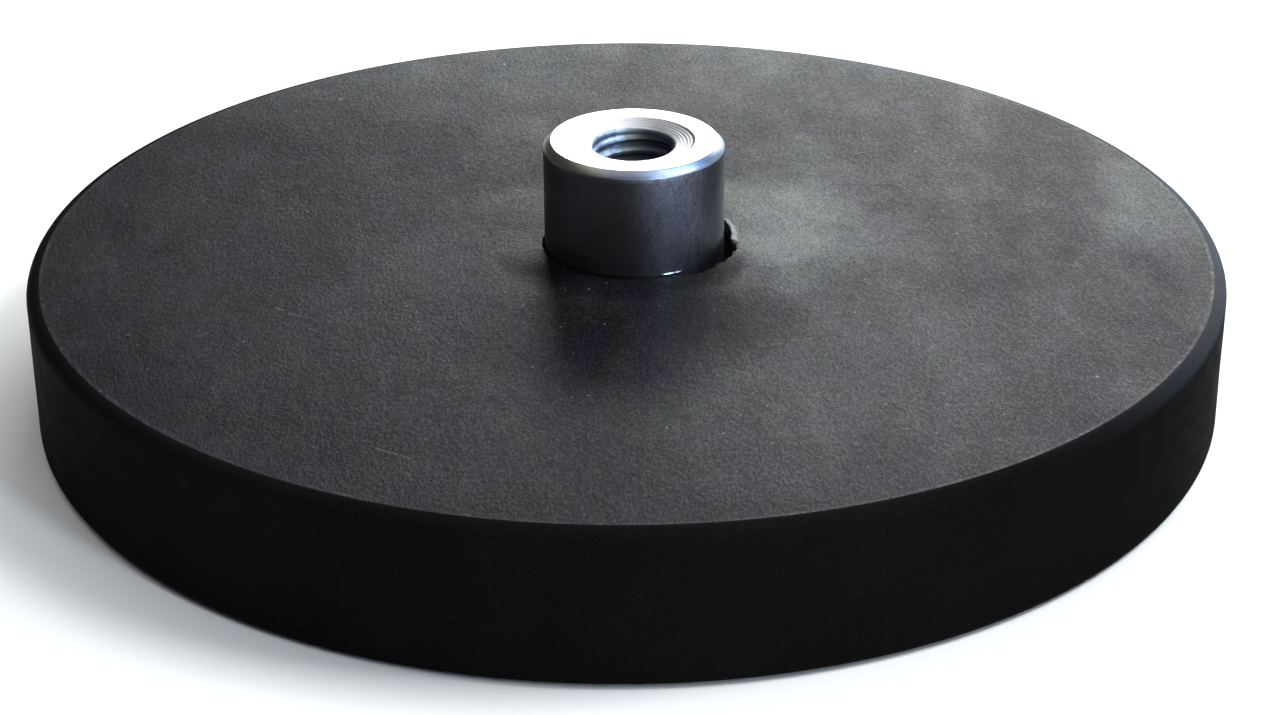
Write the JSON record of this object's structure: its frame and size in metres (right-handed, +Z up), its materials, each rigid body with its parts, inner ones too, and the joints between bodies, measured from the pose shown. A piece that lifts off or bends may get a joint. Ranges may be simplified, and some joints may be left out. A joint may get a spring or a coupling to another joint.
{
  "type": "pot magnet",
  "caption": "Flat round pot magnet in a black rubber cover, with a raised plated steel bush in its centre threaded to take a screw.",
  "frame": {"origin": "middle of the flat contact face of the rubber, on the axis of the bush", "axes": "+Z up along the axis of the bush, away from the contact face; +X is the side of the torn rubber lip beside the bush; +Y completes the right-handed set"},
  "size_m": [0.066, 0.066, 0.0146],
  "materials": {
    "rubber": "matte",
    "plated_steel": "satin",
    "plate_steel": "satin",
    "magnet_plating": "polished"
  },
  "bodies": {
    "root": {"rubber_cover": "rubber", "threaded_bush": "plated_steel", "steel_base_plate": "plate_steel", "magnet_01": "magnet_plating", "magnet_02": "magnet_plating", "magnet_03": "magnet_plating", "magnet_04": "magnet_plating", "magnet_05": "magnet_plating", "magnet_06": "magnet_plating", "magnet_07": "magnet_plating", "magnet_08": "magnet_plating", "magnet_09": "magnet_plating", "magnet_10": "magnet_plating"}
  },
  "joints": []
}
